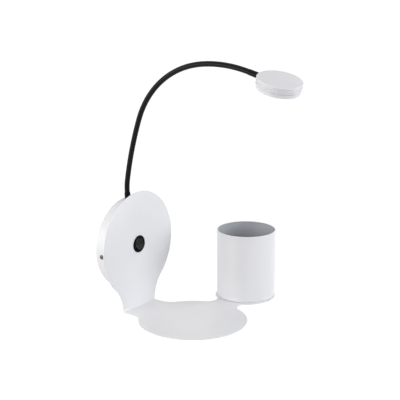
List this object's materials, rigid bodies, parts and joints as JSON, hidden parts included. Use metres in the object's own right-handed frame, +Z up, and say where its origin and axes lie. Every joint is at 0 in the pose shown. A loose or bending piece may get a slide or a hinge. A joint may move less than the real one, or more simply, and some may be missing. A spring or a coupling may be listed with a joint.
{
  "type": "wall lamp with shelf and pen cup",
  "caption": "Wall lamp on a sheet folded into a round shelf, with a pen cup, a rocker switch and a bendable neck that ends in a small flat round head.",
  "frame": {"origin": "on the wall plane, midway between the wall bracket's two slots and right behind the middle of the wall disc", "axes": "+Z up, -Y out of the wall towards the room, +X to the right seen from the room, where the cup stands"},
  "size_m": [0.2343, 0.2793, 0.3468],
  "materials": {
    "white_coat": "white powder coat, fine matt",
    "head_white": "white enamel on turned aluminium, satin",
    "neck_black": "gloss black on a ribbed steel tube",
    "ferrule_black": "gloss black enamel",
    "zinc_steel": "zinc plated steel",
    "contact_brass": "tinned and bare brass",
    "switch_black": "moulded black, matt bezel",
    "rocker_black": "moulded black, polished face",
    "grommet_rubber": "black rubber",
    "case_white": "moulded white",
    "block_ivory": "moulded ivory",
    "board_green": "solder resist over glass cloth",
    "board_white": "white solder resist",
    "parts_mixed": "wound core tape and moulded cases",
    "pad_grey": "soft thermal pad",
    "chip_phosphor": "clear silicone over phosphor",
    "lead_sleeve": "coloured lead insulation",
    "reflector_white": "white moulded reflector",
    "diffuser_frost": "frosted opal sheet"
  },
  "bodies": {
    "wall_unit": {"folded_sheet": "white_coat", "canopy": "white_coat", "wall_bracket": "zinc_steel", "bracket_tabs": "zinc_steel", "bracket_inserts": "zinc_steel", "side_screws": "zinc_steel", "cable_grommet": "grommet_rubber", "sheet_nuts": "zinc_steel", "switch_housing": "switch_black", "switch_blades": "contact_brass", "rocker_pin": "zinc_steel", "driver_pad": "pad_grey", "driver_tray": "case_white", "driver_board": "board_green", "driver_parts": "parts_mixed", "driver_cover": "case_white", "driver_screws": "zinc_steel", "terminal_block": "block_ivory", "clamp_screws": "zinc_steel", "earth_tag": "contact_brass", "earth_screw": "zinc_steel", "canopy_leads": "lead_sleeve", "lower_ferrule": "ferrule_black", "root_washer": "zinc_steel", "root_nut": "zinc_steel", "neck_root": "neck_black", "pen_cup": "white_coat", "cup_screw": "zinc_steel", "cap_nut": "zinc_steel"},
    "rocker": {"switch_rocker": "rocker_black"},
    "link_1": {"neck_link_1": "neck_black"},
    "link_2": {"neck_link_2": "neck_black"},
    "link_3": {"neck_link_3": "neck_black"},
    "link_4": {"neck_link_4": "neck_black"},
    "link_5": {"neck_link_5": "neck_black"},
    "link_6": {"neck_link_6": "neck_black"},
    "link_7": {"neck_link_7": "neck_black"},
    "link_8": {"neck_link_8": "neck_black"},
    "head": {"neck_tip": "neck_black", "upper_ferrule": "ferrule_black", "head_housing": "head_white", "grub_screw": "zinc_steel", "heat_pad": "pad_grey", "light_board": "board_white", "light_chips": "chip_phosphor", "board_screws": "zinc_steel", "head_leads": "lead_sleeve", "reflector": "reflector_white", "diffuser": "diffuser_frost", "lens_ring": "head_white"}
  },
  "joints": [
    {"name": "rocker_tilt", "type": "hinge", "parent": "wall_unit", "child": "rocker", "pos_m": [0, -0.0215, 0], "axis": [1, 0, 0], "range_deg": [0, 14]},
    {"name": "lower_bend_1", "type": "hinge", "parent": "wall_unit", "child": "link_1", "pos_m": [-0.00836, -0.01159, 0.08682], "axis": [0.9954, 0, 0.0958], "range_deg": [-8, 16]},
    {"name": "side_bend_1", "type": "hinge", "parent": "link_1", "child": "link_2", "pos_m": [-0.01158, -0.02045, 0.12023], "axis": [-0.0274, 0.9581, 0.285], "range_deg": [-18, 18]},
    {"name": "lower_bend_2", "type": "hinge", "parent": "link_2", "child": "link_3", "pos_m": [-0.01473, -0.03146, 0.15301], "axis": [0.9954, 0, 0.0958], "range_deg": [-8, 16]},
    {"name": "lower_bend_3", "type": "hinge", "parent": "link_3", "child": "link_4", "pos_m": [-0.01779, -0.04512, 0.18475], "axis": [0.9954, 0, 0.0958], "range_deg": [-8, 16]},
    {"name": "side_bend_2", "type": "hinge", "parent": "link_4", "child": "link_5", "pos_m": [-0.02046, -0.06562, 0.21252], "axis": [-0.0664, 0.7216, 0.6891], "range_deg": [-18, 18]},
    {"name": "upper_bend_1", "type": "hinge", "parent": "link_5", "child": "link_6", "pos_m": [-0.02254, -0.09265, 0.23406], "axis": [0.9954, 0, 0.0958], "range_deg": [-18, 16]},
    {"name": "upper_bend_2", "type": "hinge", "parent": "link_6", "child": "link_7", "pos_m": [-0.02387, -0.12436, 0.24788], "axis": [0.9954, 0, 0.0958], "range_deg": [-18, 16]},
    {"name": "side_bend_3", "type": "hinge", "parent": "link_7", "child": "link_8", "pos_m": [-0.02439, -0.15857, 0.25329], "axis": [-0.0957, 0.0497, 0.9942], "range_deg": [-18, 18]},
    {"name": "upper_bend_3", "type": "hinge", "parent": "link_8", "child": "head", "pos_m": [-0.02423, -0.1932, 0.25163], "axis": [0.9954, 0, 0.0958], "range_deg": [-18, 16]}
  ],
  "couplings": [
    {"joint": "lower_bend_2", "follows": "lower_bend_1", "ratio": 1},
    {"joint": "lower_bend_3", "follows": "lower_bend_1", "ratio": 1},
    {"joint": "upper_bend_2", "follows": "upper_bend_1", "ratio": 1},
    {"joint": "upper_bend_3", "follows": "upper_bend_1", "ratio": 1},
    {"joint": "side_bend_2", "follows": "side_bend_1", "ratio": 1},
    {"joint": "side_bend_3", "follows": "side_bend_1", "ratio": 1}
  ]
}
